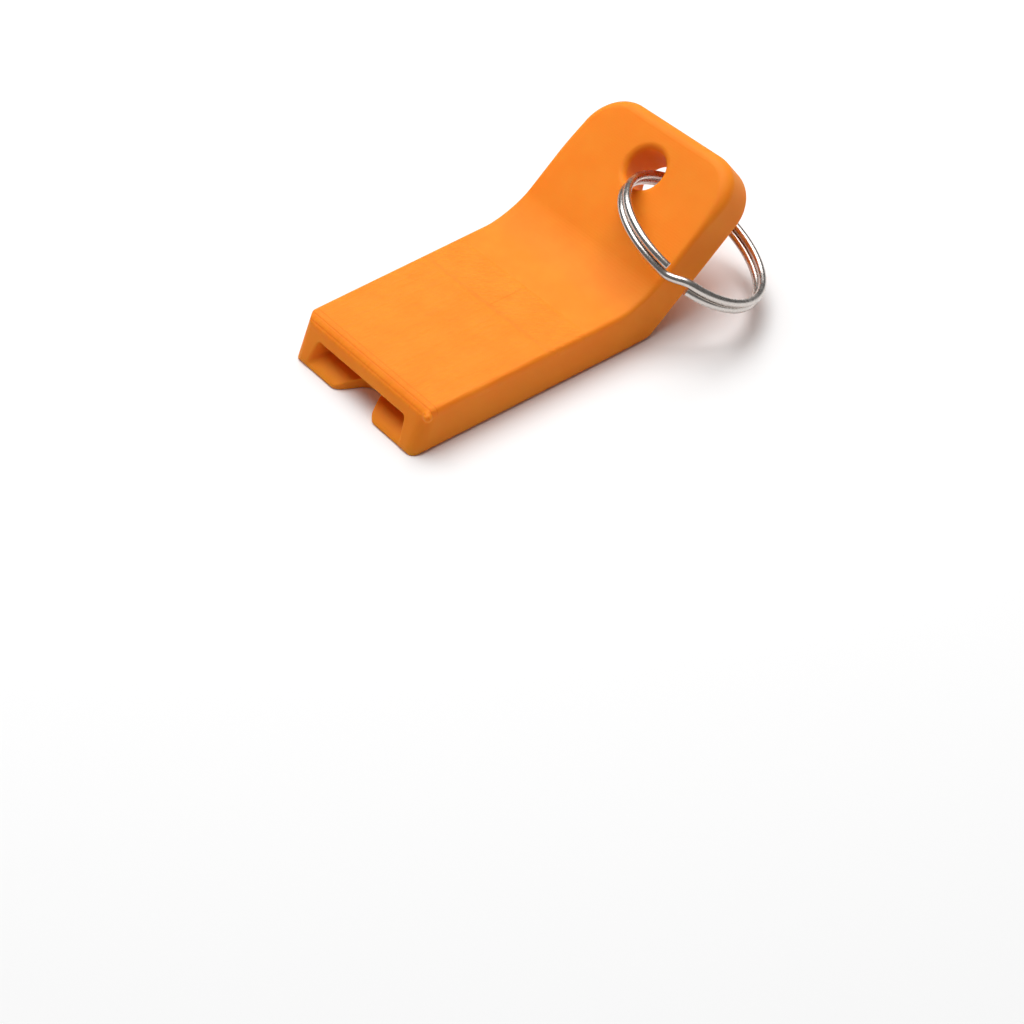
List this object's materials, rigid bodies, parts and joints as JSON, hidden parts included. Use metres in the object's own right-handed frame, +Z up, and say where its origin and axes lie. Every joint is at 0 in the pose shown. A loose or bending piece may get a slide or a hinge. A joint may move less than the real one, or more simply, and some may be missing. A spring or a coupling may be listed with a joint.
{
  "type": "slotted key fob tool",
  "caption": "Small printed plastic lever tool with a slotted, notched mouth, a cranked finger tab with a hole, and a steel split ring through the hole.",
  "frame": {"origin": "on the flat underside, at mid width, halfway along the flat base", "axes": "+Z up from the underside, +Y from the mouth towards the finger tab, +X towards the side that the ring passes round"},
  "size_m": [0.0299, 0.0502, 0.0162],
  "materials": {
    "body_plastic": "orange printed plastic, satin, slightly translucent",
    "ring_steel": "nickel-plated spring steel, polished"
  },
  "bodies": {
    "body": {"lever_body": "body_plastic"},
    "ring": {"split_ring": "ring_steel"}
  },
  "joints": [
    {"name": "ring_swing", "type": "hinge", "parent": "body", "child": "ring", "pos_m": [0, 0.02748, 0.01109], "axis": [0, -0.6115, 0.7912], "range_deg": [-13, 203]}
  ]
}
